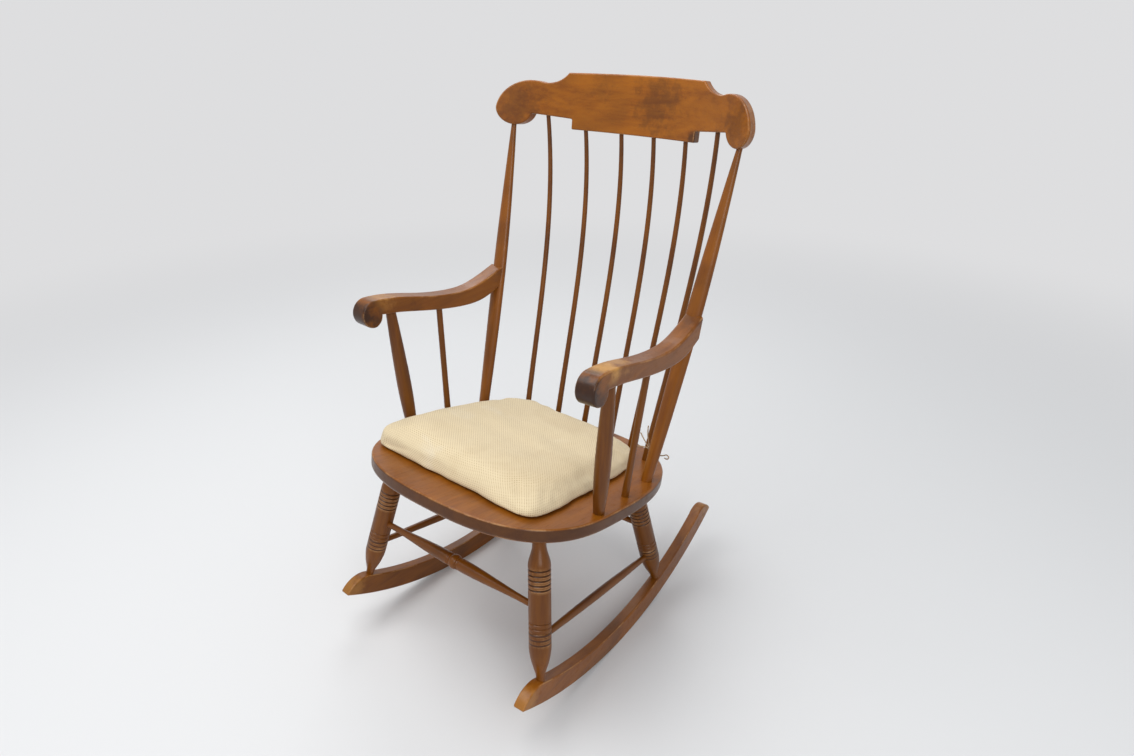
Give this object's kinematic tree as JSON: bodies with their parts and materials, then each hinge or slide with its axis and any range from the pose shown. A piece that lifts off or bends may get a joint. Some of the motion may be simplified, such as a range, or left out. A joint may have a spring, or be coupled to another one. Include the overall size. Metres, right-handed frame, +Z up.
{
  "type": "boston rocking chair",
  "caption": "Boston rocker with a stepped crest rail over bowed spindles, scrolled arms, a sloping plank seat, ring-turned legs on curved rockers and a loose tied seat cushion.",
  "frame": {"origin": "on the floor, under the middle of the chair's footprint, with the chair at rest on its rockers", "axes": "+Z up, the sitter faces -Y, and +X is towards the sitter's left hand"},
  "size_m": [0.594, 0.7244, 1.0724],
  "materials": {
    "seat_wood": "satin",
    "crest_wood": "satin",
    "arm_wood": "satin",
    "turned_wood": "satin",
    "spindle_wood": "satin",
    "rocker_wood": "satin",
    "cushion_cloth": "matte",
    "tie_twine": "matte"
  },
  "bodies": {
    "root": {"arm_left": "arm_wood", "arm_post_left": "turned_wood", "arm_post_right": "turned_wood", "arm_right": "arm_wood", "arm_spindle_left": "turned_wood", "arm_spindle_right": "turned_wood", "back_post_left": "turned_wood", "back_post_right": "turned_wood", "back_spindle_left_1": "spindle_wood", "back_spindle_left_2": "spindle_wood", "back_spindle_left_3": "spindle_wood", "back_spindle_right_1": "spindle_wood", "back_spindle_right_2": "spindle_wood", "back_spindle_right_3": "spindle_wood", "crest_rail": "crest_wood", "cushion_tie": "tie_twine", "front_leg_left": "turned_wood", "front_leg_right": "turned_wood", "front_stretcher": "turned_wood", "rear_leg_left": "turned_wood", "rear_leg_right": "turned_wood", "rear_stretcher": "turned_wood", "rocker_left": "rocker_wood", "rocker_right": "rocker_wood", "seat": "seat_wood", "seat_cushion": "cushion_cloth", "side_stretcher_left": "turned_wood", "side_stretcher_right": "turned_wood", "tie_knot": "tie_twine", "tie_tail_long": "tie_twine", "tie_tail_short": "tie_twine"}
  },
  "joints": []
}
